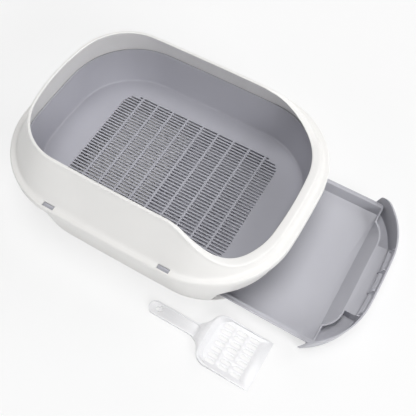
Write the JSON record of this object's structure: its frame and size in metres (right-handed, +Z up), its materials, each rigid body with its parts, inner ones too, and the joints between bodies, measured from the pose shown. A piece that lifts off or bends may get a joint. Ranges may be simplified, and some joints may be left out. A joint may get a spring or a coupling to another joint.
{
  "type": "drawer litter box",
  "caption": "Open cat litter box: low-entry splash guard over a bowl with a slotted sieve floor, a pull-out waste drawer beneath it and a slotted scoop beside it.",
  "frame": {"origin": "centre of the base shell's flat underside, which rests on the floor", "axes": "+Z up, +X towards the low entry and the end where the drawer pulls out, +Y across the box, away from the scoop"},
  "size_m": [0.7103, 0.4885, 0.207],
  "materials": {
    "white_shell": "satin moulded polypropylene",
    "grey_basin": "fine-textured moulded polypropylene",
    "grey_drawer": "satin moulded polypropylene",
    "white_scoop": "gloss moulded polypropylene"
  },
  "bodies": {
    "base": {"base_shell": "white_shell"},
    "basin": {"sieve_basin": "grey_basin"},
    "guard": {"splash_guard": "white_shell"},
    "drawer": {"drawer": "grey_drawer"},
    "scoop": {"scoop": "white_scoop"}
  },
  "joints": [
    {"name": "drawer_slide", "type": "slide", "parent": "base", "child": "drawer", "axis": [1, 0, 0], "range_m": [-0.175, 0.3]},
    {"name": "basin_lift", "type": "slide", "parent": "base", "child": "basin", "axis": [0, 0, 1], "range_m": [0, 0.12]},
    {"name": "guard_lift", "type": "slide", "parent": "basin", "child": "guard", "axis": [0, 0, 1], "range_m": [0, 0.08]},
    {"name": "scoop_lift", "type": "slide", "parent": "base", "child": "scoop", "axis": [0, 0, 1], "range_m": [0, 0.1]}
  ]
}
